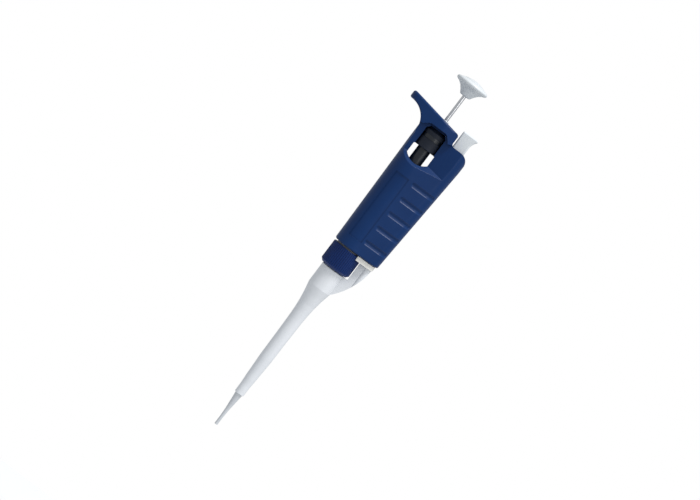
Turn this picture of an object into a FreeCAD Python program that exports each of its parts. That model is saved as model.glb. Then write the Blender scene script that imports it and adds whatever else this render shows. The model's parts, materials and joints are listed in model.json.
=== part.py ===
"""A hand-held single-channel pipette of the air-displacement kind, as an assembly of its real pieces.

The frame: +Z runs up the piston's axis from the nozzle's mouth, which is the origin. +X points from the axis
towards the tip ejector, and the finger hook points along -X. The volume display looks along +Y.
Rest is the largest volume, with the push button and the ejector button up.
"""
import FreeCAD, Part
import math
import os
import Sketcher
from FreeCAD import Placement, Rotation, Vector

doc = FreeCAD.newDocument("Pipette")
sheet = doc.addObject("Spreadsheet::Sheet", "Dims")


class Size:
    """A number and the spreadsheet expression that drives it, so that both are worked out together."""

    def __init__(self, value, text):
        self.value = float(value)
        self.text = text

    def join(self, other, sign, result):
        right = size(other)
        return Size(result(self.value, right.value), f"({self.text} {sign} {right.text})")

    def __add__(self, other):
        return self.join(other, "+", lambda a, b: a + b)

    def __sub__(self, other):
        return self.join(other, "-", lambda a, b: a - b)

    def __mul__(self, other):
        return self.join(other, "*", lambda a, b: a * b)

    def __truediv__(self, other):
        return self.join(other, "/", lambda a, b: a / b)

    def __neg__(self):
        return Size(-self.value, f"(-1 * {self.text})")


def size(value):
    """The value as a Size: plain numbers become constants in the expression."""
    return value if isinstance(value, Size) else Size(value, repr(float(value)))


ROWS = [0]


def cell(alias, value, meaning):
    """One driving dimension: a row of the sheet with its meaning, its value and its alias."""
    ROWS[0] += 1
    sheet.set(f"A{ROWS[0]}", meaning)
    sheet.set(f"B{ROWS[0]}", str(value))
    sheet.setAlias(f"B{ROWS[0]}", alias)
    return Size(value, f"Dims.{alias}")


# ---------------------------------------------------------------- driving dimensions, in millimetres

# heights above the nozzle's mouth
sleeve_end = cell("sleeve_end", 21.9, "lower end of the ejector sleeve")
cone_low = cell("cone_low", 82.0, "lower end of the funnel's cone")
cone_high = cell("cone_high", 96.5, "upper end of the funnel's cone")
nut_base = cell("nut_base", 109.8, "underside of the connecting nut")
nut_top = cell("nut_top", 123.4, "top of the connecting nut")
handle_base = cell("handle_base", 124.4, "underside of the handle")
window_base = cell("window_base", 186.5, "where the window's round floor starts")
panel_base = cell("panel_base", 187.0, "lower edge of the flat thumb panel")
bend_top = cell("bend_top", 194.0, "where the handle's leaning sides end")
hook_root = cell("hook_root", 199.0, "where the hook's underside leaves the handle")
arch_top = cell("arch_top", 207.1, "top of the arch over the window")
eave_low = cell("eave_low", 202.0, "lower edge of the eave under the shoulder")
shoulder_top = cell("shoulder_top", 203.6, "shoulder round the ejector button")
window_top = cell("window_top", 206.35, "ceiling of the window")
brow_at_axis = cell("brow_at_axis", 212.45, "sloping top of the handle, on the axis")
button_base = cell("button_base", 229.8, "underside of the push button")
button_top = cell("button_top", 240.2, "crown of the push button")

# the handle's outline
grip_low_r = cell("grip_low_r", 9.9, "handle round the axis, at its base")
grip_high_r = cell("grip_high_r", 10.85, "handle round the axis, at the bend")
side_low_r = cell("side_low_r", 6.6, "handle's ejector side, at its base")
side_high_r = cell("side_high_r", 7.6, "handle's ejector side, at the bend")
side_low_x = cell("side_low_x", 12.7, "centre of the ejector side, at its base")
side_high_x = cell("side_high_x", 15.7, "centre of the ejector side, at the bend")
brow_slope = cell("brow_slope", 0.1727, "fall of the handle's top, per millimetre")
hook_reach = cell("hook_reach", 24.1, "tip of the hook from the axis")
hook_curve = cell("hook_curve", 12.7, "radius under the hook")
hook_half = cell("hook_half", 7.0, "half the hook's width")
brow_x = cell("brow_x", 10.7, "end of the brow above the shoulder")
panel_y = cell("panel_y", 5.0, "flat thumb panel from the mid-plane")
panel_turn = cell("panel_turn", 6.0, "where the panel starts to rise towards the flank")
panel_rise = cell("panel_rise", 0.158, "rise of the panel towards the flank, per millimetre")
window_half = cell("window_half", 7.0, "half the window's width below the wheel")
wheel_gap_half = cell("wheel_gap_half", 6.45, "half the opening in front of the wheel")
window_floor_r = cell("window_floor_r", 10.0, "radius of the window's floor")
bore_r = cell("bore_r", 7.6, "bore that holds the counter and the neck")
bore_top = cell("bore_top", 180.4, "end of that bore")

# the parts on the axis
rod_r = cell("rod_r", 1.15, "push rod")
rod_gap = cell("rod_gap", 0.2, "room round the push rod")
wheel_r = cell("wheel_r", 6.85, "thumbwheel")
wheel_base = cell("wheel_base", 193.2, "underside of the thumbwheel")
wheel_top = cell("wheel_top", 206.1, "top of the thumbwheel")
stem_r = cell("stem_r", 4.1, "volume stem")
stem_base = cell("stem_base", 158.7, "lower end of the volume stem")
spindle_r = cell("spindle_r", 2.9, "volume spindle")
spindle_base = cell("spindle_base", 150.0, "lower end of the spindle, at the largest volume")
stop_r = cell("stop_r", 2.0, "stop collar on the push rod")
nut_r = cell("nut_r", 9.45, "connecting nut")
neck_r = cell("neck_r", 7.6, "threaded neck")
holder_r = cell("holder_r", 5.8, "tip holder below its flange")
cavity_r = cell("cavity_r", 4.5, "spring cavity in the tip holder")
piston_r = cell("piston_r", 0.5, "piston")
nozzle_r = cell("nozzle_r", 0.95, "nozzle where a disposable tip seats")
orifice_r = cell("orifice_r", 0.35, "air channel")
funnel_r = cell("funnel_r", 7.1, "ejector funnel, outside")
sleeve_wall = cell("sleeve_wall", 0.75, "wall of the ejector sleeve")
stroke = cell("stroke", 12.7, "piston travel to the first stop")
blowout = cell("blowout", 3.0, "further travel to the second stop")

# the ejector
ejector_x = cell("ejector_x", 15.45, "ejector rod from the axis")
ejector_rod_r = cell("ejector_rod_r", 1.5, "ejector rod")
ejector_travel = cell("ejector_travel", 6.2, "ejector travel")
key_half = cell("key_half", 3.95, "half the ejector button's shaft, across")

# the counter
drum_r = cell("drum_r", 6.7, "number drum")
drum_base = cell("drum_base", 165.2, "underside of the lowest drum")
drum_tall = cell("drum_tall", 4.5, "height of a drum")
drum_pitch = cell("drum_pitch", 4.7, "drum to drum")
pinion_x = cell("pinion_x", 8.68, "carry pinions from the axis")
display_half = cell("display_half", 2.5, "half the display's width")


# inner heights and fits
label_low = cell("label_low", 131.0, "lower edge of the label recess")
label_high = cell("label_high", 174.8, "upper edge of the label recess")
groove_low = cell("groove_low", 133.0, "lowest finger groove")
groove_pitch = cell("groove_pitch", 10.2, "finger groove to finger groove")
groove_r = cell("groove_r", 2.4, "radius of a finger groove")
groove_deep = cell("groove_deep", 0.6, "depth of a finger groove")
bush_r = cell("bush_r", 2.1, "guide bush for the push rod")
bush_top = cell("bush_top", 212.95, "top of the guide bush")
cage_base = cell("cage_base", 163.2, "underside of the counter's cage")
cage_inner_r = cell("cage_inner_r", 6.85, "inside of the counter's cage")
display_low = cell("display_low", 165.4, "lower edge of the display")
display_high = cell("display_high", 178.9, "upper edge of the display")
pinion_shaft_r = cell("pinion_shaft_r", 0.6, "shaft of the carry pinions")
spindle_nut_base = cell("spindle_nut_base", 151.0, "underside of the spindle nut")
spring_seat = cell("spring_seat", 177.9, "seat of the ejector spring")
slot_base = cell("slot_base", 185.4, "floor of the ejector slot")
key_base = cell("key_base", 195.0, "underside of the ejector button")
key_side = cell("key_side", 3.8, "half the ejector button's width")
neck_top = cell("neck_top", 131.0, "top of the neck bush")
seat_base = cell("seat_base", 123.4, "underside of the blow-out seat")
seat_r = cell("seat_r", 6.6, "blow-out seat")
blowout_base = cell("blowout_base", 132.3, "underside of the blow-out ring")
nut_shelf = cell("nut_shelf", 113.1, "shelf in the nut that lifts the tip holder's flange")
flange_top = cell("flange_top", 115.4, "top of the tip holder's flange")
flange_r = cell("flange_r", 7.2, "tip holder's flange")
holder_top = cell("holder_top", 122.9, "top of the tip holder")
holder_top_r = cell("holder_top_r", 5.6, "tip holder's spigot in the neck")
retainer_base = cell("retainer_base", 95.0, "floor of the spring cavity")
retainer_top = cell("retainer_top", 96.0, "top of the seal retainer")
boss_r = cell("boss_r", 3.0, "seal retainer's boss")
seal_top = cell("seal_top", 91.0, "top of the piston seal")
oring_top = cell("oring_top", 88.8, "underside of the piston seal")
gland_base = cell("gland_base", 87.4, "floor of the seal's gland")
gland_r = cell("gland_r", 1.9, "seal's gland")
nozzle_land = cell("nozzle_land", 5.0, "length of the nozzle's straight land")
head_base = cell("head_base", 119.5, "piston head's spring face")
head_r = cell("head_r", 4.25, "piston head")
rod_base = cell("rod_base", 122.0, "lower end of the push rod")
piston_base = cell("piston_base", 40.0, "lower end of the piston, at the largest volume")
button_r = cell("button_r", 10.1, "push button's rim")
insert_r = cell("insert_r", 5.9, "disc in the push button")
rod_foot = cell("rod_foot", 116.2, "lower end of the ejector rod")
foot_base = cell("foot_base", 121.4, "underside of the ejector foot")
foot_half = cell("foot_half", 8.6, "half the ejector foot's width")
funnel_top = cell("funnel_top", 109.2, "rim of the ejector sleeve")
mouth_r = cell("mouth_r", 2.5, "mouth of the ejector sleeve")

PIECES = []


def piece(thing, label):
    """Names a finished sub-part, whose label is its file's name."""
    thing.Label = label
    PIECES.append(thing)
    return thing


def bind(thing, name, value):
    """Ties a property to the sheet, or sets it where the value is a plain number."""
    if isinstance(value, Size):
        thing.setExpression(name, value.text)
    elif "." in name:
        thing.setExpression(name, repr(float(value)))
    else:
        setattr(thing, name, value)


# ---------------------------------------------------------------- sketches and simple solids

def arc_through(start, end, radius):
    """The arc from start to end, anticlockwise where the radius is above 0, on its shorter side."""
    chord = end - start
    middle = (start + end) / 2
    left = Vector(-chord.y, chord.x, 0).normalize()
    rise = math.sqrt(max(radius * radius - (chord.Length / 2) ** 2, 0.0))
    centre = middle + left * math.copysign(rise, radius)
    bulge = middle - left * math.copysign(abs(radius) - rise, radius)
    return Part.Arc(start, bulge, end), centre


def draw(sketch, points):
    """A closed outline. A point is (across, up), or (across, up, radius) where an arc leads to it."""
    ends = [Vector(size(p[0]).value, size(p[1]).value, 0) for p in points]
    count = len(points)
    arcs = set()
    for i in range(count):
        after = points[(i + 1) % count]
        start, end = ends[i], ends[(i + 1) % count]
        if len(after) == 3:
            arc, _ = arc_through(start, end, size(after[2]).value)
            sketch.addGeometry(arc)
            arcs.add(i)
        else:
            sketch.addGeometry(Part.LineSegment(start, end))
    first = {}
    for i in range(count):
        # a sketch keeps its arcs anticlockwise, so the end that comes first is looked up
        vertices = (sketch.getPoint(i, 1), sketch.getPoint(i, 2))
        first[i] = 1 if (vertices[0] - ends[i]).Length < (vertices[1] - ends[i]).Length else 2
    for i in range(count):
        after = (i + 1) % count
        sketch.addConstraint(Sketcher.Constraint("Coincident", i, 3 - first[i], after, first[after]))
    for i, point in enumerate(points):
        across, up = size(point[0]), size(point[1])
        for name, kind, value, axis in (("across", "DistanceX", across, -2), ("up", "DistanceY", up, -1)):
            if value.value == 0.0:
                sketch.addConstraint(Sketcher.Constraint("PointOnObject", i, first[i], axis))
                continue
            number = sketch.addConstraint(Sketcher.Constraint(kind, -1, 1, i, first[i], value.value))
            sketch.renameConstraint(number, f"{name}_{i}")
            sketch.setExpression(f"Constraints.{name}_{i}", value.text)
    for i in sorted(arcs):
        radius = size(points[(i + 1) % count][2])
        number = sketch.addConstraint(Sketcher.Constraint("Radius", i, abs(radius.value)))
        sketch.renameConstraint(number, f"radius_{i}")
        sketch.setExpression(f"Constraints.radius_{i}", f"abs({radius.text})")


def body_sketch(body, name, plane, points):
    """A sketch of that outline on one of the body's origin planes."""
    sketch = body.newObject("Sketcher::SketchObject", name)
    origin = next(f for f in body.Origin.OriginFeatures if f.Role == plane)
    sketch.AttachmentSupport = [(origin, "")]
    sketch.MapMode = "FlatFace"
    draw(sketch, points)
    return sketch


def turned(name, points):
    """A body of revolution about Z from an outline of (radius, height) points."""
    body = doc.addObject("PartDesign::Body", name)
    sketch = body_sketch(body, name + "_outline", "XZ_Plane", points)
    turn = body.newObject("PartDesign::Revolution", name + "_turn")
    turn.Profile = sketch
    turn.ReferenceAxis = (sketch, ["V_Axis"])
    turn.Angle = 360
    return body


def ring(name, outer, inner, low, high):
    """A plain ring about Z."""
    return turned(name, [(inner, low), (outer, low), (outer, high), (inner, high)])


def torus(name, middle, wire, height):
    """An O-ring about Z."""
    made = doc.addObject("Part::Torus", name)
    bind(made, "Radius1", middle)
    bind(made, "Radius2", wire)
    bind(made, "Placement.Base.z", height)
    return made


def cylinder(name, radius, low, high, x=0.0, y=0.0):
    """An upright cylinder at (x, y) between two heights."""
    made = doc.addObject("Part::Cylinder", name)
    bind(made, "Radius", radius)
    bind(made, "Height", size(high) - low)
    bind(made, "Placement.Base.x", x)
    bind(made, "Placement.Base.y", y)
    bind(made, "Placement.Base.z", low)
    return made


def block(name, x, y, z):
    """A box between two corners, each axis given as (low, high)."""
    made = doc.addObject("Part::Box", name)
    for side, axis, (low, high) in (("Length", "x", x), ("Width", "y", y), ("Height", "z", z)):
        bind(made, side, size(high) - low)
        bind(made, f"Placement.Base.{axis}", low)
    return made


def prism(name, plane, points, low, high):
    """An outline pushed along its plane's normal: +Y for XZ_Plane, +Z for XY_Plane, +X for YZ_Plane."""
    body = doc.addObject("PartDesign::Body", name)
    sketch = body_sketch(body, name + "_outline", plane, points)
    pad = body.newObject("PartDesign::Pad", name + "_pad")
    pad.Profile = sketch
    bind(pad, "Length", size(high) - low)
    # the XZ plane's own normal points along -Y
    pad.Reversed = plane == "XZ_Plane"
    axis = {"XZ_Plane": "y", "XY_Plane": "z", "YZ_Plane": "x"}[plane]
    bind(body, f"Placement.Base.{axis}", low)
    return body


def cut(name, base, *tools):
    """The base with each tool taken out of it."""
    for i, tool in enumerate(tools):
        made = doc.addObject("Part::Cut", f"{name}_{i}")
        made.Base = base
        made.Tool = tool
        base = made
    return base


def fuse(name, *things):
    """Solids joined into one, with their seams removed."""
    made = doc.addObject("Part::MultiFuse", name)
    made.Shapes = list(things)
    made.Refine = True
    return made


def common(name, *things):
    """What all the solids share."""
    made = doc.addObject("Part::MultiCommon", name)
    made.Shapes = list(things)
    return made


def mirrored(name, thing):
    """The thing's image across the XZ mid-plane."""
    made = doc.addObject("Part::Mirroring", name)
    made.Source = thing
    made.Normal = Vector(0, 1, 0)
    return made


def rounded(name, thing, radius, wanted):
    """Rounds every edge that wanted(edge) picks."""
    doc.recompute()
    made = doc.addObject("Part::Fillet", name)
    made.Base = thing
    picked = [i + 1 for i, edge in enumerate(thing.Shape.Edges) if wanted(edge)]
    made.Edges = [(i, radius, radius) for i in picked]
    return made


def spring(name, middle, wire, low, high, turns, x=0.0):
    """A compression spring about an upright axis at x, whose wire stays between two heights."""
    body = doc.addObject("PartDesign::Body", name)
    sketch = body.newObject("Sketcher::SketchObject", name + "_wire")
    sketch.AttachmentSupport = [(body.Origin.OriginFeatures[0], "")]
    plane = next(f for f in body.Origin.OriginFeatures if f.Role == "XZ_Plane")
    sketch.AttachmentSupport = [(plane, "")]
    sketch.MapMode = "FlatFace"
    start = size(low) + wire
    sketch.addGeometry(Part.Circle(Vector(size(middle).value, start.value, 0), Vector(0, 0, 1), wire))
    for kind, label, value in (("DistanceX", "across", size(middle)), ("DistanceY", "up", start)):
        number = sketch.addConstraint(Sketcher.Constraint(kind, -1, 1, 0, 3, value.value))
        sketch.renameConstraint(number, label)
        sketch.setExpression(f"Constraints.{label}", value.text)
    number = sketch.addConstraint(Sketcher.Constraint("Radius", 0, wire))
    coil = body.newObject("PartDesign::AdditiveHelix", name + "_coil")
    coil.Profile = sketch
    coil.ReferenceAxis = (sketch, ["V_Axis"])
    coil.Mode = "height-turns-angle"
    bind(coil, "Height", size(high) - low - 2 * wire)
    coil.Turns = turns
    bind(body, "Placement.Base.x", x)
    return body


def egg(body, name, near, far, reach, height):
    """A sketch round two circles, one on the axis and one at x = reach, joined by their tangents."""
    sketch = body.newObject("Sketcher::SketchObject", name)
    origin = next(f for f in body.Origin.OriginFeatures if f.Role == "XY_Plane")
    sketch.AttachmentSupport = [(origin, "")]
    sketch.MapMode = "FlatFace"
    sketch.AttachmentOffset = Placement(Vector(0, 0, height.value), Rotation())
    sketch.setExpression("AttachmentOffset.Base.z", height.text)
    side = 1 if reach.value > 0 else -1
    lean = math.acos((near.value - far.value) / abs(reach.value))
    across = Vector(side * math.cos(lean), math.sin(lean), 0)
    down = Vector(across.x, -across.y, 0)
    centre = Vector(reach.value, 0, 0)
    behind = Vector(-side * near.value, 0, 0)
    ahead = Vector(reach.value + side * far.value, 0, 0)
    sketch.addGeometry(Part.Arc(across * near.value, behind, down * near.value))
    sketch.addGeometry(Part.LineSegment(down * near.value, centre + down * far.value))
    sketch.addGeometry(Part.Arc(centre + down * far.value, ahead, centre + across * far.value))
    sketch.addGeometry(Part.LineSegment(centre + across * far.value, across * near.value))
    start = [sketch.getPoint(i, 1) for i in range(4)]
    ends = [across * near.value, down * near.value, centre + down * far.value, centre + across * far.value]
    first = [1 if (start[i] - ends[i]).Length < 1e-6 else 2 for i in range(4)]
    for i in range(4):
        after = (i + 1) % 4
        sketch.addConstraint(Sketcher.Constraint("Tangent", i, 3 - first[i], after, first[after]))
    sketch.addConstraint(Sketcher.Constraint("Coincident", 0, 3, -1, 1))
    sketch.addConstraint(Sketcher.Constraint("PointOnObject", 2, 3, -1))
    for label, kind, geometry, value in (("near", "Radius", 0, near), ("far", "Radius", 2, far)):
        number = sketch.addConstraint(Sketcher.Constraint(kind, geometry, value.value))
        sketch.renameConstraint(number, label)
        sketch.setExpression(f"Constraints.{label}", value.text)
    number = sketch.addConstraint(Sketcher.Constraint("DistanceX", -1, 1, 2, 3, reach.value))
    sketch.renameConstraint(number, "reach")
    sketch.setExpression("Constraints.reach", reach.text)
    return sketch


def egg_prism(name, near, far, reach, low, high):
    """An upright prism of that egg between two heights."""
    body = doc.addObject("PartDesign::Body", name)
    sketch = egg(body, name + "_outline", near, far, reach, size(low))
    pad = body.newObject("PartDesign::Pad", name + "_pad")
    pad.Profile = sketch
    bind(pad, "Length", size(high) - low)
    return body


# ---------------------------------------------------------------- handle

def leaning_grip(name, inset):
    """The grip between the base and the bend, drawn in by the inset all round."""
    grip = doc.addObject("PartDesign::Body", name)
    low = egg(grip, name + "_low", grip_low_r - inset, side_low_r - inset, side_low_x, handle_base)
    high = egg(grip, name + "_high", grip_high_r - inset, side_high_r - inset, side_high_x, bend_top)
    loft = grip.newObject("PartDesign::AdditiveLoft", name + "_loft")
    loft.Profile = low
    loft.Sections = [high]
    loft.Ruled = True
    return grip


def handle_outside():
    """The handle's outer form: a leaning grip, a shoulder, a sloping brow and a finger hook."""
    grip = leaning_grip("grip", 0)
    head = egg_prism("head", grip_high_r, side_high_r, side_high_x, bend_top, brow_at_axis + 8)
    tower = fuse("tower", grip, head)

    # seen from the side: a rounded shoulder, a step and the sloping brow
    right = side_high_x + side_high_r
    corner = size(5.6)
    step = size(1.8)
    brow_end = brow_at_axis - brow_slope * brow_x
    far_left = -grip_high_r - 2
    side_view = prism("side_view", "XZ_Plane", [
        (far_left, handle_base),
        (right + 1, handle_base),
        (right + 1, shoulder_top - corner),
        (right, shoulder_top - corner),
        (right - corner, shoulder_top, corner),
        (brow_x + step, shoulder_top),
        (brow_x, shoulder_top + step, -step),
        (brow_x, brow_end - step),
        (brow_x - step, brow_end + brow_slope * step, step),
        (far_left, brow_at_axis - brow_slope * far_left),
    ], -16, 16)
    trunk = common("trunk", tower, side_view)

    # the finger hook, a tongue that follows the brow's slope and fades into the head below
    far_half = hook_half - 1
    tongue_plan = egg_prism("tongue_plan", grip_high_r, far_half, far_half - hook_reach, hook_root - 12, 222)
    root = -grip_high_r + 0.6
    tip_low = hook_root + hook_curve
    seam_x = size(-2)
    beyond = -hook_reach - 1
    tongue_side = prism("tongue_side", "XZ_Plane", [
        (seam_x, hook_root - 9),
        (root + 3.2, hook_root - 9),
        (root, hook_root),
        (root - hook_curve, tip_low, hook_curve),
        (beyond, tip_low + 0.3),
        (beyond, brow_at_axis - brow_slope * beyond),
        (seam_x, brow_at_axis - brow_slope * seam_x),
    ], -12, 12)
    tongue = common("tongue", tongue_plan, tongue_side)
    under_top = tip_low.value + 0.6
    soft_tongue = rounded("soft_tongue", tongue, 1.1, lambda edge: edge.BoundBox.XLength > 0.01
                          and hook_root.value - 8 < edge.BoundBox.ZMax < under_top)
    outside = fuse("outside", trunk, soft_tongue)
    soft_brow = rounded("soft_brow", outside, 1.3, on_brow)
    return rounded("soft_base", soft_brow, 1.0, lambda edge: edge.BoundBox.ZMax < handle_base.value + 0.01)


def on_brow(edge):
    """True for an edge round the sloping top, though not for one across it."""
    def height(x):
        return brow_at_axis.value - brow_slope.value * x
    level = all(abs(v.Point.z - height(v.Point.x)) < 0.02 for v in edge.Vertexes)
    return level and edge.BoundBox.XLength > 0.01 and edge.BoundBox.ZMin > shoulder_top.value + 4


def thumb_recess():
    """What is scooped out in front of the window: a flat panel that rises to the flank, and a sloping chin."""
    beyond = size(26)
    chin = (size(0.86) * 8).value
    panel = prism("panel_scoop", "XZ_Plane", [
        (-16, panel_base - chin * 13 / 8),
        (beyond, panel_base - chin * 13 / 8),
        (beyond, shoulder_top + 1),
        (brow_x + 2.2, shoulder_top + 1),
        (8.6, eave_low + 1.2),
        (5.6, arch_top - 0.5),
        (3.6, arch_top, 3.0),
        (-4.6, arch_top),
        (-6.6, arch_top - 0.6, 3.0),
        (-9.4, eave_low + 2.3),
        (-16, eave_low + 1.2),
    ], -18, -panel_y)
    crease_r = 1.5
    lean = math.atan2(8, chin)
    tangent = crease_r * math.tan(lean / 2)
    depth = prism("depth_scoop", "YZ_Plane", [
        (-18, panel_base - chin * 13 / 8),
        (-panel_y - tangent * math.sin(lean), panel_base - tangent * math.cos(lean)),
        (-panel_y, panel_base + tangent, crease_r),
        (-panel_y, arch_top + 6),
        (-18, arch_top + 6),
    ], -16, beyond + 1)
    rise = prism("rising_scoop", "XY_Plane", [
        (-16, -18),
        (beyond, -18),
        (beyond, -panel_y - (beyond - panel_turn) * panel_rise),
        (panel_turn, -panel_y),
        (-16, -panel_y),
    ], panel_base - 16, arch_top + 6)
    return common("thumb_scoop", panel, depth, rise)


def on_ridge(edge):
    """True for the edge where the thumb panel runs out through the flank."""
    box = edge.BoundBox
    return box.XMin > side_high_x.value + 1 and box.ZLength > 5 and panel_base.value - 4 < box.ZMin \
        and all(6.0 < abs(v.Point.y) < 8.0 for v in edge.Vertexes)


def on_lip(edge):
    """True for the chin's outer edge, where its slope breaks out through the grip's skin."""
    def off(point):
        return abs(point.z - panel_base.value - (abs(point.y) * -1 + panel_y.value) * 0.86)
    box = edge.BoundBox
    return all(off(v.Point) < 0.03 and abs(v.Point.y) > 5.6 for v in edge.Vertexes) and box.XLength > 0.3


def grip_groove(index):
    """A finger groove: a round-ended cutter along the leaning flank and on round the ejector side."""
    height = groove_low + groove_pitch * index
    share = (height - handle_base) / (bend_top - handle_base)
    side_x = side_low_x + (side_high_x - side_low_x) * share
    side_r = side_low_r + (side_high_r - side_low_r) * share
    near_r = grip_low_r + (grip_high_r - grip_low_r) * share
    path_r = side_r + groove_r - groove_deep
    lean = math.acos((near_r.value - side_r.value) / side_x.value)
    turn = math.radians(42)
    name = f"groove_{index}"

    bend = doc.addObject("Part::Torus", name + "_bend")
    bind(bend, "Radius1", path_r)
    bind(bend, "Radius2", groove_r)
    bend.Angle3 = math.degrees(lean - turn)
    bend.Placement.Rotation = Rotation(Vector(0, 0, 1), -math.degrees(lean))
    bind(bend, "Placement.Base.x", side_x)
    bind(bend, "Placement.Base.z", height)

    start_x = side_x + path_r * math.cos(lean)
    start_y = -path_r * math.sin(lean)
    run = size(9.2)
    flat = doc.addObject("Part::Cylinder", name + "_run")
    bind(flat, "Radius", groove_r)
    bind(flat, "Height", run)
    flat.Placement.Rotation = Rotation(Vector(0, 0, 1), Vector(-math.sin(lean), -math.cos(lean), 0))
    for axis, value in (("x", start_x), ("y", start_y), ("z", height)):
        bind(flat, f"Placement.Base.{axis}", value)

    ends = [(start_x - run * math.sin(lean), start_y - run * math.cos(lean)),
            (side_x + path_r * math.cos(turn), -path_r * math.sin(turn))]
    caps = []
    for number, (x, y) in enumerate(ends):
        cap = doc.addObject("Part::Sphere", f"{name}_cap_{number}")
        bind(cap, "Radius", groove_r)
        for axis, value in (("x", x), ("y", y), ("z", height)):
            bind(cap, f"Placement.Base.{axis}", value)
        caps.append(cap)
    return fuse(name, bend, flat, *caps)


def make_handle():
    """The moulded handle, with its recesses, window, grooves and every inner bore."""
    outside = handle_outside()
    scoop = thumb_recess()
    scooped = cut("scooped", outside, scoop, mirrored("far_scoop", scoop))
    soft_ridge = rounded("soft_ridge", scooped, 2.0, on_ridge)
    soft_lip = rounded("soft_lip", soft_ridge, 0.4, on_lip)
    under_wheel = wheel_base - 0.2
    window = prism("window", "XZ_Plane", [
        (-window_half, window_base), (window_half, window_base, window_floor_r),
        (window_half, under_wheel), (-window_half, under_wheel),
    ], -18, 18)
    corner = wheel_gap_half - 2.0
    wheel_gap = prism("wheel_gap", "XZ_Plane", [
        (-wheel_gap_half, under_wheel - 0.5), (wheel_gap_half, under_wheel - 0.5),
        (wheel_gap_half, wheel_top - 2.15), (corner, wheel_top - 0.15),
        (-corner, wheel_top - 0.15), (-wheel_gap_half, wheel_top - 2.15),
    ], -18, 18)
    wheel_room = cylinder("wheel_room", window_half, under_wheel, window_top)
    grooves = doc.addObject("Part::Compound", "grooves")
    grooves.Links = [grip_groove(index) for index in range(5)]
    label_column = block("label_column", (-5.0, 3.5), (-13, -5), (label_low, label_high))
    label = cut("label_recess", label_column, leaning_grip("label_floor", 0.3))
    shaped = cut("shaped", soft_lip, window, wheel_gap, wheel_room, grooves,
                 mirrored("far_grooves", grooves), label)

    bore = cylinder("main_bore", bore_r, handle_base - 1, bore_top)
    stem_hole = cylinder("stem_hole", stem_r + 0.08, bore_top - 1, window_base)
    bush_hole = cylinder("bush_hole", bush_r, window_top - 1, brow_at_axis + 3)
    guide = cylinder("ejector_guide", ejector_rod_r + 0.1, handle_base - 1, spring_seat + 1, ejector_x)
    spring_room = cylinder("ejector_spring_room", 3.4, spring_seat, slot_base + 1, ejector_x)
    slot = block("ejector_slot", (ejector_x - key_half - 0.1, ejector_x + key_half + 0.1),
                 (-key_side - 0.1, key_side + 0.1), (slot_base, shoulder_top + 8))
    pinion_room = block("pinion_room", (bore_r - 2, pinion_x + 2.1), (-2.3, 2.3), (cage_base, bore_top))
    shaft_hole = cylinder("pinion_shaft_hole", pinion_shaft_r, cage_base - 1, bore_top + 1, pinion_x)
    display = block("display_opening", (-display_half, display_half), (bore_r - 1.5, 12),
                    (display_low, display_high))
    bezel = block("display_bezel", (-display_half - 0.7, display_half + 0.7), (10.0, 12),
                  (display_low - 0.7, display_high + 0.7))
    return cut("handle", shaped, bore, stem_hole, bush_hole, guide, spring_room, slot, pinion_room, shaft_hole,
               display, bezel)


piece(make_handle(), "handle")

# the lens closes the display, its face just below the handle's skin
piece(block("lens", (-display_half, display_half), (bore_r, 9.9), (display_low, display_high)), "display_lens")

# ---------------------------------------------------------------- on the handle: bushes, cage and seats

piece(turned("bush", [
    (rod_r + rod_gap, window_top), (bush_r, window_top), (bush_r, bush_top - 0.3),
    (bush_r - 0.3, bush_top), (rod_r + rod_gap, bush_top),
]), "rod_guide_bush")

cage = turned("cage", [
    (stem_r + 0.15, cage_base), (bore_r, cage_base), (bore_r, bore_top), (cage_inner_r, bore_top),
    (cage_inner_r, cage_base + 1.5), (stem_r + 0.15, cage_base + 1.5),
])
cage_window = block("cage_window", (-display_half, display_half), (3, 9), (display_low, display_high))
cage_side = block("cage_side", (3, 9), (-2.3, 2.3), (cage_base + 1.5, bore_top))
piece(cut("volumeter_cage", cage, cage_window, cage_side), "volumeter_cage")

piece(cylinder("shaft", pinion_shaft_r, cage_base - 1, bore_top + 1, pinion_x), "pinion_shaft")

piece(turned("brass_nut", [
    (spindle_r + 0.06, spindle_nut_base + 0.5), (spindle_r + 0.5, spindle_nut_base),
    (bore_r, spindle_nut_base), (bore_r, spindle_nut_base + 1.6),
    (5.2, spindle_nut_base + 1.6), (5.2, spindle_nut_base + 5), (spindle_r + 0.06, spindle_nut_base + 5),
]), "spindle_nut")

piece(turned("bush_threaded", [
    (holder_top_r, flange_top), (neck_r - 0.15, flange_top), (neck_r - 0.15, nut_top + 0.3),
    (neck_r, nut_top + 0.3), (neck_r, neck_top), (seat_r, neck_top), (seat_r, seat_base),
    (holder_top_r, seat_base),
]), "neck_bush")

piece(turned("seat", [
    (3.0, seat_base), (seat_r, seat_base), (seat_r, seat_base + 2), (5.9, seat_base + 2),
    (5.9, seat_base + 1.4), (3.0, seat_base + 1.4),
]), "blowout_seat")

piece(spring("blowout_coil", 5.2, 0.4, seat_base + 1.4, blowout_base, 3), "blowout_spring")

# ---------------------------------------------------------------- tip holder, screwed on with the nut

piece(turned("holder", [
    (orifice_r, 0),
    (nozzle_r, 0),
    (nozzle_r, nozzle_land),
    (1.15, 10.5),
    (1.62, 15.2),
    (1.9, 18.4),
    (2.3, sleeve_end),
    (2.36, 30),
    (2.7, 40),
    (3.0, 74),
    (3.4, cone_low),
    (holder_r, 98),
    (holder_r, nut_shelf),
    (flange_r, nut_shelf),
    (flange_r, flange_top),
    (holder_top_r, flange_top),
    (holder_top_r, holder_top),
    (cavity_r, holder_top),
    (cavity_r, retainer_base),
    (boss_r, retainer_base),
    (boss_r, seal_top),
    (gland_r, seal_top),
    (gland_r, gland_base),
    (piston_r + 0.1, gland_base),
    (piston_r + 0.1, 23.0),
    (orifice_r, 22.4),
]), "tip_holder")

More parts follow.
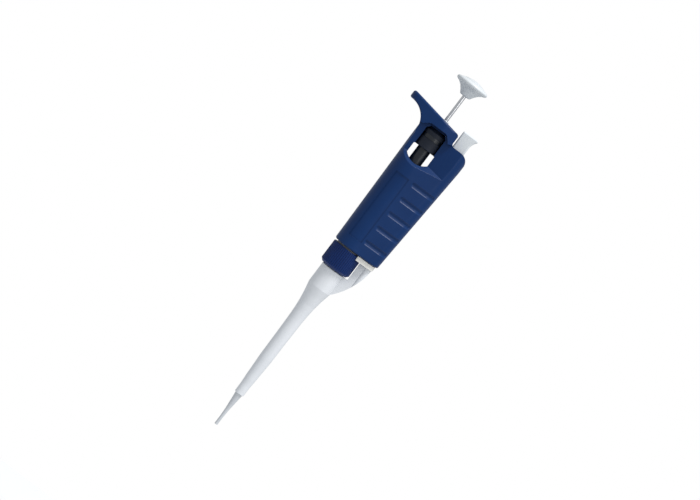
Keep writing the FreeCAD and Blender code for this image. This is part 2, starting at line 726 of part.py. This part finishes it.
piece(turned("retainer", [
    (piston_r + 0.15, seal_top), (boss_r, seal_top), (boss_r, retainer_base), (cavity_r, retainer_base),
    (cavity_r, retainer_top), (piston_r + 0.15, retainer_top),
]), "seal_retainer")

piece(turned("seal", [
    (piston_r, oring_top), (gland_r, oring_top), (gland_r, seal_top), (piston_r + 0.5, seal_top),
    (piston_r, seal_top - 0.7),
]), "piston_seal")

oring_wire = (gland_r - piston_r) / 2
piece(torus("oring", piston_r + oring_wire, oring_wire, gland_base + oring_wire), "piston_oring")

piece(spring("piston_coil", 3.85, 0.25, retainer_top, head_base, 11), "piston_spring")

# ---------------------------------------------------------------- connecting nut

nut_inner = neck_r + 0.04
nut_body = turned("nut_blank", [
    (holder_r + 0.25, nut_base), (nut_r - 1.3, nut_base), (nut_r, nut_base + 1.5), (nut_r, nut_top - 0.35),
    (nut_r - 0.35, nut_top), (nut_inner, nut_top), (nut_inner, nut_shelf), (holder_r + 0.25, nut_shelf),
])
flute_sketch = nut_body.newObject("Sketcher::SketchObject", "flute_outline")
flute_sketch.AttachmentSupport = [(next(f for f in nut_body.Origin.OriginFeatures if f.Role == "XY_Plane"), "")]
flute_sketch.MapMode = "FlatFace"
flute_sketch.AttachmentOffset = Placement(Vector(0, 0, nut_base.value), Rotation())
flute_sketch.setExpression("AttachmentOffset.Base.z", nut_base.text)
flute_sketch.addGeometry(Part.Circle(Vector(nut_r.value + 0.08, 0, 0), Vector(0, 0, 1), 0.42))
flute_sketch.addConstraint(Sketcher.Constraint("PointOnObject", 0, 3, -1))
flute_place = flute_sketch.addConstraint(Sketcher.Constraint("DistanceX", -1, 1, 0, 3, nut_r.value + 0.08))
flute_sketch.renameConstraint(flute_place, "place")
flute_sketch.setExpression("Constraints.place", "Dims.nut_r + 0.08")
flute_sketch.addConstraint(Sketcher.Constraint("Radius", 0, 0.42))
flute = nut_body.newObject("PartDesign::Pocket", "flute")
flute.Profile = flute_sketch
flute.Reversed = True
bind(flute, "Length", nut_top - nut_base)
flutes = nut_body.newObject("PartDesign::PolarPattern", "flutes")
flutes.Originals = [flute]
flutes.Axis = (flute_sketch, ["N_Axis"])
flutes.Angle = 360
flutes.Occurrences = 48
nut_body.Tip = flutes
piece(nut_body, "connecting_nut")

# ---------------------------------------------------------------- thumbwheel, stem and fast drum

groove_base = wheel_base + 6.1
groove_roof = groove_base + 2.2
piece(turned("wheel_lower", [
    (stem_r, wheel_base), (wheel_r - 0.4, wheel_base), (wheel_r, wheel_base + 0.4), (wheel_r, groove_base - 0.2),
    (wheel_r - 0.2, groove_base), (stem_r, groove_base),
]), "thumbwheel")
piece(ring("wheel_band", wheel_r - 0.35, stem_r, groove_base, groove_roof), "wheel_ring")
piece(turned("wheel_upper", [
    (stem_r, groove_roof), (wheel_r - 0.2, groove_roof), (wheel_r, groove_roof + 0.2), (wheel_r, wheel_top - 2.2),
    (wheel_r - 2.2, wheel_top), (stem_r, wheel_top),
]), "wheel_cap")

keyway_top = spindle_base + 28.6
stem = turned("stem", [
    (spindle_r + 0.12, stem_base), (stem_r, stem_base), (stem_r, wheel_top), (rod_r + rod_gap, wheel_top),
    (rod_r + rod_gap, keyway_top), (spindle_r + 0.12, keyway_top),
])
keyway = block("keyway", (-3.6, 3.6), (-0.6, 0.6), (stem_base - 1, keyway_top))
piece(cut("volume_stem", stem, keyway), "volume_stem")


def drum(name, label, index, inner):
    """A number drum, with a notched rim that the carry pinion meets."""
    base = drum_base + drum_pitch * index
    high = base + drum_tall
    body = turned(name, [
        (inner, base), (drum_r - 0.5, base), (drum_r - 0.5, base + 0.35), (drum_r, base + 0.35),
        (drum_r, high - 0.35), (drum_r - 0.5, high - 0.35), (drum_r - 0.5, high), (inner, high),
    ])
    return piece(body, label)


drum("fast_drum", "drum_units", 0, stem_r)
drum("middle_drum", "drum_tens", 1, stem_r + 0.08)
drum("slow_drum", "drum_hundreds", 2, stem_r + 0.08)


def pinion(name, label, index):
    """A carry pinion between two drums: a hub with eight teeth, free on its shaft."""
    low = drum_base + drum_pitch * (index + 1) - 1.5
    hub = cylinder(name + "_hub", 1.45, low, low + 2.8, pinion_x)
    teeth = [hub]
    for step in range(4):
        tooth = block(f"{name}_tooth_{step}", (-1.88, 1.88), (-0.28, 0.28), (low, low + 2.8))
        tooth.Placement.Rotation = Rotation(Vector(0, 0, 1), 45 * step)
        # the bar turns about its own middle, which sits on the shaft
        angle = math.radians(45 * step)
        across = -1.88 * math.cos(angle) + 0.28 * math.sin(angle)
        bind(tooth, "Placement.Base.x", pinion_x + across)
        bind(tooth, "Placement.Base.y", -1.88 * math.sin(angle) - 0.28 * math.cos(angle))
        teeth.append(tooth)
    wheel = fuse(name + "_wheel", *teeth)
    hole = cylinder(name + "_hole", pinion_shaft_r + 0.06, low - 1, low + 4, pinion_x)
    return piece(cut(name, wheel, hole), label)


pinion("pinion_low", "carry_pinion_low", 0)
pinion("pinion_high", "carry_pinion_high", 1)

# ---------------------------------------------------------------- volume spindle

spindle = turned("spindle_blank", [
    (stop_r + 0.15, spindle_base), (spindle_r, spindle_base), (spindle_r, spindle_base + 28),
    (rod_r + rod_gap, spindle_base + 28), (rod_r + rod_gap, spindle_base + 13.4),
    (stop_r + 0.15, spindle_base + 13.4),
])
wing = block("driver_wing", (-3.5, 3.5), (-0.5, 0.5), (spindle_base + 22, spindle_base + 28))
wing_hole = cylinder("wing_hole", spindle_r - 0.5, spindle_base + 21, spindle_base + 29)
wings = cut("wings", wing, wing_hole)
piece(fuse("volume_spindle", spindle, wings), "volume_spindle")

# ---------------------------------------------------------------- plunger

piece(turned("button", [
    (0, button_base + 6.2), (rod_r, button_base + 6.2), (rod_r, button_base),
    (2.2, button_base), (3.3, button_base + 0.35, 1.4), (4.4, button_base + 2.1), (5.9, button_base + 4.0),
    (7.8, button_base + 5.4), (9.5, button_base + 6.1), (button_r, button_base + 7.1, 1.4),
    (9.6, button_base + 8.1, 1.3), (insert_r, button_top - 1.1), (insert_r, button_top - 1.7),
    (0, button_top - 1.7),
]), "push_button")
piece(turned("insert", [
    (0, button_top - 1.7), (insert_r, button_top - 1.7), (insert_r, button_top - 1.0),
    (0, button_top, (insert_r * insert_r + 1) / 2),
]), "button_insert")
piece(cylinder("rod", rod_r, rod_base, button_base + 6.2), "push_rod")
collar_top = spindle_base
piece(turned("collar", [
    (rod_r, collar_top - 3), (stop_r, collar_top - 3), (stop_r, collar_top - 0.3), (stop_r - 0.3, collar_top),
    (rod_r, collar_top),
]), "rod_stop_collar")
piece(turned("head_disc", [
    (0, head_base - 3), (1.5, head_base - 3), (1.5, head_base), (head_r, head_base), (head_r, rod_base - 0.3),
    (head_r - 0.3, rod_base), (0, rod_base),
]), "piston_head")
piece(cylinder("piston_pin", piston_r, piston_base, head_base - 3), "piston")

piece(turned("second_stop", [
    (rod_r + 0.3, blowout_base), (6.4, blowout_base), (6.4, blowout_base + 2), (rod_r + 0.3, blowout_base + 2),
]), "blowout_ring")

# ---------------------------------------------------------------- tip ejector

key_x = ejector_x
key_top = shoulder_top + 11
key_side_view = prism("key_side_view", "XZ_Plane", [
    (key_x - key_half, key_base),
    (key_x + key_half, key_base),
    (key_x + key_half, key_top - 5.6),
    (key_x + key_half + 2.1, key_top - 1.2, -7.5),
    (key_x + key_half + 1.3, key_top, 1.2),
    (key_x - key_half + 0.8, key_top),
    (key_x - key_half, key_top - 0.8, 0.8),
], -key_side, key_side)
key_bore = cylinder("key_bore", ejector_rod_r, key_base - 1, key_base + 8, ejector_x)
soft_key = rounded("soft_key", key_side_view, 0.9, lambda edge: edge.BoundBox.YLength < 0.01
                   and edge.BoundBox.ZMax > key_base.value + 1)
piece(cut("ejector_button", soft_key, key_bore), "ejector_button")
piece(cylinder("ejector_bar", ejector_rod_r, rod_foot, key_base + 8, ejector_x), "ejector_rod")
piece(spring("ejector_coil", 2.5, 0.3, spring_seat, key_base, 7, ejector_x), "ejector_spring")

foot_plan = egg_prism("foot_plan", foot_half, size(5.2), size(12.9), foot_base, foot_base + 2.7)
foot_gap = cylinder("foot_gap", nut_r + 0.3, foot_base - 1, foot_base + 4)
foot_side = block("foot_side", (-20, 5.8), (-20, 20), (foot_base - 1, foot_base + 4))
foot_hole = cylinder("foot_hole", ejector_rod_r, foot_base - 1, foot_base + 4, ejector_x)
piece(cut("ejector_foot", foot_plan, foot_gap, foot_side, foot_hole), "ejector_foot")

sleeve = turned("sleeve", [
    (mouth_r, sleeve_end),
    (mouth_r + 0.42, sleeve_end),
    (2.99, 28.1),
    (3.27, 32.3),
    (3.62, 40.6),
    (3.9, 47),
    (4.04, 62),
    (4.25, 74),
    (4.52, 79.6),
    (5.0, 85.2),
    (5.9, 90.8),
    (funnel_r, cone_high),
    (funnel_r, funnel_top),
    (funnel_r - sleeve_wall, funnel_top),
    (funnel_r - sleeve_wall, cone_high),
    (size(5.9) - sleeve_wall, 90.8),
    (size(5.0) - sleeve_wall, 85.2),
    (size(4.52) - sleeve_wall, 79.6),
    (size(4.25) - sleeve_wall, 74),
    (size(4.04) - sleeve_wall, 62),
    (size(3.9) - sleeve_wall, 47),
    (size(3.62) - sleeve_wall, 40.6),
    (size(3.27) - 0.66, 32.3),
    (size(2.99) - 0.48, 28.1),
])
boss_outer = size(2.1)
web = prism("web", "XZ_Plane", [
    (funnel_r - 0.45, cone_high + 0.4),
    (7.7, cone_high + 0.9),
    (10.0, 100.4),
    (11.8, 103.1),
    (13.6, 106.4),
    (15.4, 110.8),
    (16.6, 114.4),
    (17.2, 118.0),
    (17.5, foot_base),
    (nut_r + 0.4, foot_base),
    (nut_r + 0.4, funnel_top),
    (funnel_r - 0.45, funnel_top),
], -boss_outer, boss_outer)
web_slab = block("web_slab", (0, 20), (-1.4, 1.4), (90, foot_base))
boss_column = cylinder("boss_column", boss_outer, 90, foot_base, ejector_x)
thin_web = common("thin_web", web, web_slab)
boss = common("boss", web, boss_column)
rod_hole = cylinder("rod_hole", ejector_rod_r, rod_foot, foot_base + 1, ejector_x)
piece(cut("ejector_sleeve", fuse("sleeve_all", sleeve, thin_web, boss), rod_hole), "ejector_sleeve")

# ---------------------------------------------------------------- check and export

doc.recompute()
for thing in doc.Objects:
    if "Invalid" in thing.State or "Error" in thing.State:
        raise RuntimeError(f"{thing.Name} did not compute: {thing.State}")
for thing in PIECES:
    shape = thing.Shape
    if shape.isNull() or not shape.isValid():
        raise RuntimeError(f"{thing.Label} has no valid shape")
    if len(shape.Solids) != 1:
        raise RuntimeError(f"{thing.Label} has {len(shape.Solids)} solids, not one")
os.makedirs("parts", exist_ok=True)
for thing in PIECES:
    thing.Shape.exportStep(f"parts/{thing.Label}.step")
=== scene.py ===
import json
import math

import bpy
from mathutils import Matrix, Vector


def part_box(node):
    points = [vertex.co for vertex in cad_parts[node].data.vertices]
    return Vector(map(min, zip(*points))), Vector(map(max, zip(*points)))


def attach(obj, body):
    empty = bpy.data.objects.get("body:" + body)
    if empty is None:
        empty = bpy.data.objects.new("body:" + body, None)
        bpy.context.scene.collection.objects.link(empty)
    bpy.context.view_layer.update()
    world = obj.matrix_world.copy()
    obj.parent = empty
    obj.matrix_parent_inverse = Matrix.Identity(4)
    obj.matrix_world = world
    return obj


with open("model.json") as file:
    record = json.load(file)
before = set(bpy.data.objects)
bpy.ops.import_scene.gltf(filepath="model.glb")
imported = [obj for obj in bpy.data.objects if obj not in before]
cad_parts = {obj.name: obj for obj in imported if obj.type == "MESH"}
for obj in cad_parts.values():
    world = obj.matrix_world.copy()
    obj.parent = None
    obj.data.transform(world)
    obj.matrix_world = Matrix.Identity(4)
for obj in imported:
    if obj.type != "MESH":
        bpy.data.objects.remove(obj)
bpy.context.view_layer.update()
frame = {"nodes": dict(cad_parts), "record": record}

nodes = frame["nodes"]
scene = bpy.context.scene
MM = 0.001

# Finishes, in metres
BUMP_HEIGHT = 0.00006           # how far a finish's grain stands up
SOFT_SCALE = 0.0015             # how deep light goes into the soft plastics
CORNER_REACH = 0.0022           # how far the painted shade in a corner spreads

# A colour mix node's sockets, by number
MIX_SHARE, MIX_FIRST, MIX_SECOND, MIX_RESULT = 0, 6, 7, 2

# Print on the drums
DIGITS, TICKS = 10, 50
DIGIT_TALL = 2.9 * MM
UNITS_SHIFT = 0.35 * MM         # the units stand higher, to leave room for the ticks
TICK_HALF = 0.06 * MM
TICK_LONG, TICK_SHORT = 0.75 * MM, 0.45 * MM
TICK_START = 0.12 * MM          # above the drum's lower edge
INK_OUT, INK_IN = 0.00003, 0.00004      # how far the ink reaches out of and into a drum

# The strips over the wheel: from and to in Y on either side, in Z, and half their width in X
LINTEL_NEAR, LINTEL_FAR = 4.9 * MM, 5.0 * MM
LINTEL_LOW, LINTEL_HIGH = 205.98 * MM, 206.6 * MM
LINTEL_HALF = 5.2 * MM

FLOOR_REACH, FLOOR_Z = 0.26, -0.16

# Camera: its roll and rise, the point it looks at, how far away it stands, and its lens in mm
ROLL = math.radians(37.2)
RISE = math.radians(4.0)
TARGET = Vector((0.95, 0.0, 123.6)) * MM
DISTANCE = 1.083
FOCAL, SENSOR = 100.0, 36.0

# A box's six faces, for corners in the order that box_corners gives
BOX_FACES = [(3, 2, 1, 0), (4, 5, 6, 7), (0, 1, 5, 4), (1, 2, 6, 5), (2, 3, 7, 6), (3, 0, 4, 7)]


# ---------------------------------------------------------------- helpers

def placed(name, data):
    """A new object in the scene for a mesh, a text, a lamp or a camera."""
    made = bpy.data.objects.new(name, data)
    scene.collection.objects.link(made)
    return made


def box_corners(left, right, near, far, low, high):
    return [(x, y, z) for z in (low, high)
            for x, y in ((left, near), (right, near), (right, far), (left, far))]


class Graph:
    """A node tree with short calls. A socket or a plain value may be given to any input."""

    def __init__(self, tree):
        self.tree = tree
        tree.nodes.clear()

    def node(self, kind, settings=None, **inputs):
        made = self.tree.nodes.new(kind)
        for key, value in (settings or {}).items():
            setattr(made, key, value)
        for key, value in inputs.items():
            self.put(made, key.replace("_", " "), value)
        return made

    def put(self, made, key, value):
        socket = made.inputs[int(key) if key.isdigit() else key]
        if isinstance(value, bpy.types.NodeSocket):
            self.tree.links.new(value, socket)
        else:
            socket.default_value = value

    def noise(self, where, scale, detail=4.0, rough=0.55):
        made = self.node("ShaderNodeTexNoise", None, Vector=where, Scale=scale, Detail=detail,
                         Roughness=rough)
        return made.outputs["Fac"]

    def stretched(self, where, across, along, turn=(0, 0, 0)):
        """Coordinates scaled apart, so that a noise on them runs in streaks. Along is Z."""
        made = self.node("ShaderNodeMapping", None, Vector=where)
        made.inputs["Scale"].default_value = (across, across, along)
        made.inputs["Rotation"].default_value = turn
        return made.outputs["Vector"]

    def between(self, value, low, high, to_low, to_high):
        """A value carried smoothly from one range to another."""
        made = self.node("ShaderNodeMapRange", {"interpolation_type": "SMOOTHSTEP"})
        limits = {"From Min": low, "From Max": high, "To Min": to_low, "To Max": to_high}
        for key, number in limits.items():
            made.inputs[key].default_value = number
        self.put(made, "Value", value)
        return made.outputs["Result"]

    def mix(self, share, first, second):
        """Two colours mixed: the first where share is 0, the second where it is 1."""
        made = self.node("ShaderNodeMix", {"data_type": "RGBA"})
        for key, value in ((MIX_SHARE, share), (MIX_FIRST, first), (MIX_SECOND, second)):
            if isinstance(value, bpy.types.NodeSocket):
                self.tree.links.new(value, made.inputs[key])
            else:
                made.inputs[key].default_value = value if key == MIX_SHARE else (*value, 1.0)
        return made.outputs[MIX_RESULT]

    def maths(self, operation, first, second):
        made = self.node("ShaderNodeMath", {"operation": operation})
        self.put(made, "0", first)
        self.put(made, "1", second)
        return made.outputs["Value"]

    def surface(self, kind, shader):
        """Join a shader to the tree's output, of the given kind."""
        self.tree.links.new(shader, self.node(kind).inputs["Surface"])


def material(name, colour, *, second=None, patch=45.0, rough=(0.34, 0.48), grain=3800.0,
             depth=0.35, scuff=0.0, scuff_colour=(0.6, 0.6, 0.6), streak=0.0, corner_shade=0.35,
             metallic=0.0, coat=0.0, coat_rough=0.1, soft=0.0, soft_radius=(1.0, 1.0, 1.0),
             specular=0.5, transmission=0.0, ior=1.5, brushed=None):
    """One finish: cloudy colour, painted shade in its corners, worn streaks, a moulded grain and
    uneven gloss.
    """
    made = bpy.data.materials.new(name)
    made.use_nodes = True
    g = Graph(made.node_tree)
    where = g.node("ShaderNodeTexCoord").outputs["Object"]
    cloud = g.noise(where, patch, 5.0)
    fine = g.noise(where, grain, 3.0, 0.6)
    if second is None:
        second = tuple(0.80 * c for c in colour)
    tint = g.mix(g.between(cloud, 0.32, 0.68, 0.0, 1.0), second, colour)
    speck = g.between(g.noise(where, grain * 0.45, 2.0), 0.60, 0.74, 0.0, 0.35)
    tint = g.mix(speck, tint, tuple(0.72 * c for c in colour))
    height = fine
    if scuff:
        lines = g.noise(g.stretched(where, 2400.0, 60.0, (0.5, 0.35, 0.2)), 1.0, 3.0, 0.6)
        places = g.between(g.noise(where, patch * 1.7, 3.0), 0.50, 0.72, 0.0, 1.0)
        worn = g.maths("MULTIPLY", g.between(lines, 0.62, 0.72, 0.0, scuff), places)
        tint = g.mix(worn, tint, scuff_colour)
        height = g.maths("SUBTRACT", height, worn)
    if streak:
        flow = g.noise(g.stretched(where, 260.0, 14.0), 1.0, 4.0)
        tint = g.mix(g.between(flow, 0.4, 0.7, 0.0, streak), tint, tuple(0.86 * c for c in colour))
    # Painted shade: the colour darkens towards a darker copy of itself where ambient occlusion
    # finds corners, creases and recesses.
    if corner_shade:
        corner = g.node("ShaderNodeAmbientOcclusion", {"samples": 6},
                        Distance=CORNER_REACH).outputs["AO"]
        shaded_colour = tuple(0.35 * c for c in colour)
        tint = g.mix(g.between(corner, 0.25, 0.95, corner_shade, 0.0), tint, shaded_colour)
    if brushed:
        around, along = brushed
        height = g.noise(g.stretched(where, around, along), 1.0, 3.0, 0.7)
    gloss = g.between(g.noise(where, patch * 2.6, 4.0), 0.3, 0.7, *rough)
    bump = g.node("ShaderNodeBump", None, Height=height)
    bump.inputs["Strength"].default_value = depth
    bump.inputs["Distance"].default_value = BUMP_HEIGHT
    shader = g.node("ShaderNodeBsdfPrincipled")
    g.put(shader, "Base Color", tint)
    g.put(shader, "Roughness", gloss)
    g.put(shader, "Normal", bump.outputs["Normal"])
    fixed = {"Metallic": metallic, "Coat Weight": coat, "Coat Roughness": coat_rough,
             "Specular IOR Level": specular, "IOR": ior, "Transmission Weight": transmission,
             "Subsurface Weight": soft, "Subsurface Scale": SOFT_SCALE}
    for key, value in fixed.items():
        shader.inputs[key].default_value = value
    shader.inputs["Subsurface Radius"].default_value = soft_radius
    g.surface("ShaderNodeOutputMaterial", shader.outputs["BSDF"])
    return made


# ---------------------------------------------------------------- finishes

BLUE_WEAR = (0.16, 0.24, 0.38)
finishes = {
    "handle_plastic": material(
        "moulded_navy", (0.0030, 0.028, 0.116), second=(0.0024, 0.024, 0.102), patch=38.0,
        rough=(0.31, 0.42), grain=3400.0, depth=0.36, scuff=0.10, scuff_colour=BLUE_WEAR,
        corner_shade=0.3, specular=0.20),
    "nut_plastic": material(
        "moulded_royal_blue", (0.0045, 0.024, 0.122), second=(0.0036, 0.020, 0.104), patch=70.0,
        rough=(0.34, 0.46), grain=3900.0, depth=0.25, scuff=0.05, scuff_colour=BLUE_WEAR, corner_shade=0.3,
        specular=0.22),
    "white_plastic": material(
        "moulded_white", (0.66, 0.685, 0.70), second=(0.64, 0.67, 0.69), patch=60.0,
        rough=(0.28, 0.40), grain=4500.0, depth=0.16, scuff=0.03, scuff_colour=(0.5, 0.5, 0.5),
        corner_shade=0.12, soft=0.1, soft_radius=(1.0, 1.0, 1.1)),
    "cream_plastic": material(
        "moulded_cream", (0.80, 0.78, 0.73), second=(0.74, 0.72, 0.67), patch=80.0,
        rough=(0.34, 0.46), grain=4200.0, depth=0.20, scuff=0.04, scuff_colour=(0.55, 0.53, 0.48),
        corner_shade=0.15, soft=0.3),
    "ejector_plastic": material(
        "translucent_grey", (0.72, 0.735, 0.76), second=(0.69, 0.71, 0.74), patch=34.0,
        rough=(0.34, 0.46), grain=3600.0, depth=0.15, scuff=0.05, scuff_colour=(0.75, 0.75, 0.75),
        streak=0.2, corner_shade=0.08),
    "holder_plastic": material(
        "nozzle_grey", (0.58, 0.60, 0.62), second=(0.52, 0.54, 0.57), patch=90.0, rough=(0.28, 0.4),
        grain=4200.0, depth=0.16, scuff=0.06, scuff_colour=(0.4, 0.4, 0.4), corner_shade=0.1),
    "black_plastic": material(
        "matt_black", (0.0085, 0.0125, 0.024), second=(0.0065, 0.010, 0.020), patch=120.0,
        rough=(0.46, 0.58), grain=2800.0, depth=0.5, scuff=0.06, scuff_colour=(0.07, 0.08, 0.10),
        corner_shade=0.4, specular=0.3),
    "gloss_black": material(
        "gloss_black", (0.004, 0.007, 0.013), patch=120.0, rough=(0.30, 0.40), grain=2500.0,
        depth=0.05,
        scuff=0.05, scuff_colour=(0.06, 0.06, 0.07), corner_shade=0.3, coat=0.12),
    "grey_plastic": material(
        "mid_grey", (0.20, 0.21, 0.22), patch=80.0, rough=(0.42, 0.55), grain=3200.0, depth=0.35,
        scuff=0.1),
    "lens": material(
        "clear_lens", (0.93, 0.96, 0.98), second=(0.90, 0.94, 0.96), patch=90.0, rough=(0.02, 0.06),
        grain=2500.0, depth=0.02, corner_shade=0.0, transmission=1.0, ior=1.49),
    "drum_white": material(
        "drum_white", (0.80, 0.80, 0.77), patch=150.0, rough=(0.42, 0.55), grain=4200.0,
        depth=0.2, corner_shade=0.3),
    "chrome": material(
        "polished_rod", (0.66, 0.66, 0.67), second=(0.58, 0.58, 0.60), patch=160.0,
        rough=(0.10, 0.22),
        depth=0.12, scuff=0.2, scuff_colour=(0.35, 0.35, 0.36), corner_shade=0.0, metallic=1.0,
        brushed=(5200.0, 60.0)),
    "steel": material(
        "drawn_steel", (0.46, 0.46, 0.47), patch=160.0, rough=(0.24, 0.38), depth=0.25, corner_shade=0.2,
        metallic=1.0, brushed=(900.0, 3200.0)),
    "brass": material(
        "turned_brass", (0.62, 0.43, 0.17), second=(0.50, 0.34, 0.13), patch=140.0,
        rough=(0.24, 0.40),
        depth=0.25, corner_shade=0.3, metallic=1.0, brushed=(60.0, 5200.0)),
    "rubber": material(
        "nitrile_rubber", (0.018, 0.018, 0.018), patch=200.0, rough=(0.55, 0.7), grain=4200.0,
        depth=0.5,
        corner_shade=0.3),
    "seal_plastic": material(
        "waxy_white", (0.76, 0.76, 0.71), patch=150.0, rough=(0.30, 0.42), grain=4200.0, depth=0.15,
        corner_shade=0.2, soft=0.4),
}

for part in frame["record"]["subparts"]:
    for place in nodes[part["node"]].material_slots:
        place.material = finishes[part["material_slot"]]


# ---------------------------------------------------------------- digits on the drums

ink = material("printed_ink", (0.012, 0.012, 0.014), patch=300.0, rough=(0.5, 0.62),
               grain=5200.0, depth=0.3, corner_shade=0.0)


def flat_digit(digit, tall):
    """The outline of one digit as a mesh, its middle at the origin, tall metres high."""
    curve = bpy.data.curves.new("digit", "FONT")
    curve.body = str(digit)
    curve.size = 1.0
    curve.resolution_u = 5
    curve.extrude = 0.02
    curve.align_x = "CENTER"
    text = placed("digit", curve)
    bpy.context.view_layer.update()
    solved = text.evaluated_get(bpy.context.evaluated_depsgraph_get())
    mesh = bpy.data.meshes.new_from_object(solved)
    bpy.data.objects.remove(text)
    low = min(v.co.y for v in mesh.vertices)
    high = max(v.co.y for v in mesh.vertices)
    left = min(v.co.x for v in mesh.vertices)
    right = max(v.co.x for v in mesh.vertices)
    scale = tall / (high - low)
    for v in mesh.vertices:
        v.co.x = (v.co.x - (left + right) / 2) * scale
        v.co.y = (v.co.y - (low + high) / 2) * scale
    return mesh


def wrapped(mesh, turn, radius, level):
    """Points of a flat mesh laid round a drum: across goes round it, up stays up."""
    points = []
    for v in mesh.vertices:
        angle = turn + v.co.x / radius
        reach = radius + (INK_OUT if v.co.z > 0 else -INK_IN)
        points.append((-reach * math.sin(angle), reach * math.cos(angle), level + v.co.y))
    return points, [tuple(p.vertices) for p in mesh.polygons]


def printed(name, body, pieces):
    """One piece of print, joined from several meshes' points and faces, riding on a body."""
    points, faces = [], []
    for some_points, some_faces in pieces:
        start = len(points)
        points += some_points
        faces += [tuple(i + start for i in face) for face in some_faces]
    mesh = bpy.data.meshes.new(name)
    mesh.from_pydata(points, [], faces)
    mesh.validate()
    mesh.materials.append(ink)
    made = placed(name, mesh)
    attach(made, body)


def drum_face(node):
    """A drum's radius and its lower and upper level."""
    low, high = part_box(node)
    return high.y, low.z, high.z


digits = [flat_digit(k, DIGIT_TALL) for k in range(DIGITS)]
drum_bodies = {"drum_units": "thumbwheel", "drum_tens": "drum_tens",
               "drum_hundreds": "drum_hundreds"}
for node, body in drum_bodies.items():
    radius, low, high = drum_face(node)
    level = (low + high) / 2 + (UNITS_SHIFT if node == "drum_units" else 0)
    rows = [wrapped(digits[k], -k * math.tau / DIGITS, radius, level) for k in range(DIGITS)]
    if node == "drum_units":
        tick = bpy.data.meshes.new("tick")
        base = low - level + TICK_START
        for k in range(TICKS):
            tall = TICK_LONG if k % (TICKS // DIGITS) == 0 else TICK_SHORT
            tick.clear_geometry()
            tick.from_pydata(box_corners(-TICK_HALF, TICK_HALF, base, base + tall, -1, 1), [],
                             BOX_FACES)
            rows.append(wrapped(tick, -k * math.tau / TICKS, radius, level))
    printed(f"{node}_print", body, rows)


# ---------------------------------------------------------------- lintels over the wheel

def lintel(name, side):
    """A thin strip of the handle that closes the slit between the wheel's cap and its arch."""
    corners = box_corners(-LINTEL_HALF, LINTEL_HALF, side * LINTEL_NEAR, side * LINTEL_FAR,
                          LINTEL_LOW, LINTEL_HIGH)
    faces = BOX_FACES
    if side < 0:
        faces = [face[::-1] for face in faces]
    mesh = bpy.data.meshes.new(name)
    mesh.from_pydata(corners, [], faces)
    mesh.materials.append(finishes["handle_plastic"])
    made = placed(name, mesh)
    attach(made, "handle")


lintel("lintel_front", -1)
lintel("lintel_back", 1)


# ---------------------------------------------------------------- floor, light and camera

def floor_material():
    made = bpy.data.materials.new("floor_paper")
    made.use_nodes = True
    g = Graph(made.node_tree)
    where = g.node("ShaderNodeTexCoord").outputs["Object"]
    tint = g.mix(g.noise(where, 3.0), (0.70, 0.70, 0.70), (0.73, 0.73, 0.73))
    shader = g.node("ShaderNodeBsdfPrincipled")
    g.put(shader, "Base Color", tint)
    shader.inputs["Roughness"].default_value = 0.9
    g.surface("ShaderNodeOutputMaterial", shader.outputs["BSDF"])
    return made


mesh = bpy.data.meshes.new("floor")
mesh.from_pydata([(x * FLOOR_REACH, y * FLOOR_REACH, FLOOR_Z)
                  for x, y in ((-1, -1), (1, -1), (1, 1), (-1, 1))], [], [(0, 1, 2, 3)])
mesh.materials.append(floor_material())
floor = placed("floor", mesh)

world = bpy.data.worlds.new("studio")
scene.world = world
world.use_nodes = True
g = Graph(world.node_tree)
# The camera sees a white ground, and the object is lit by a dimmer room.
room = g.node("ShaderNodeBackground", None, Color=(0.92, 0.96, 1.0, 1.0), Strength=0.58)
paper = g.node("ShaderNodeBackground", None, Color=(1.0, 1.0, 1.0, 1.0), Strength=1.0)
seen = g.node("ShaderNodeLightPath").outputs["Is Camera Ray"]
either = g.node("ShaderNodeMixShader")
for key, value in ((0, seen), (1, room.outputs[0]), (2, paper.outputs[0])):
    world.node_tree.links.new(value, either.inputs[key])
g.surface("ShaderNodeOutputWorld", either.outputs[0])

back = Vector((0.0, -math.cos(RISE), math.sin(RISE)))     # from the object towards the camera
level_right = Vector((1.0, 0.0, 0.0))
level_up = back.cross(level_right)
up = -math.sin(ROLL) * level_right + math.cos(ROLL) * level_up


def facing(forward_back, upward):
    """The turn of a camera or lamp that looks against forward_back with upward at its top."""
    z = forward_back.normalized()
    x = upward.cross(z).normalized()
    y = z.cross(x)
    return Matrix((x, y, z)).transposed()


lens = bpy.data.cameras.new("camera")
lens.lens = FOCAL
lens.sensor_width = SENSOR
camera = placed("camera", lens)
camera.matrix_world = Matrix.Translation(TARGET + back * DISTANCE) @ facing(back, up).to_4x4()
scene.camera = camera


def sun(name, toward, strength, spread):
    """Light from far away, out of the direction toward, spread over an angle in degrees."""
    lamp = bpy.data.lights.new(name, "SUN")
    lamp.energy = strength
    lamp.angle = math.radians(spread)
    placed(name, lamp).matrix_world = facing(toward, Vector((0.1, 1, 0))).to_4x4()


def softbox(name, toward, distance, size, power):
    """A rectangular lamp that stands in the direction toward and shines on the target."""
    lamp = bpy.data.lights.new(name, "AREA")
    lamp.shape = "RECTANGLE"
    lamp.size, lamp.size_y = size
    lamp.energy = power
    spot = toward.normalized()
    turn = facing(spot, Vector((0, 0, 1.001))).to_4x4()
    placed(name, lamp).matrix_world = Matrix.Translation(TARGET + spot * distance) @ turn


sun("top_light", Vector((0.28, -0.30, 1.0)), 2.7, 20.0)
softbox("right_box", Vector((0.60, -0.70, 0.45)), 1.0, (0.4, 0.8), 2.5)

scene.view_settings.view_transform = "Standard"
scene.view_settings.look = "None"
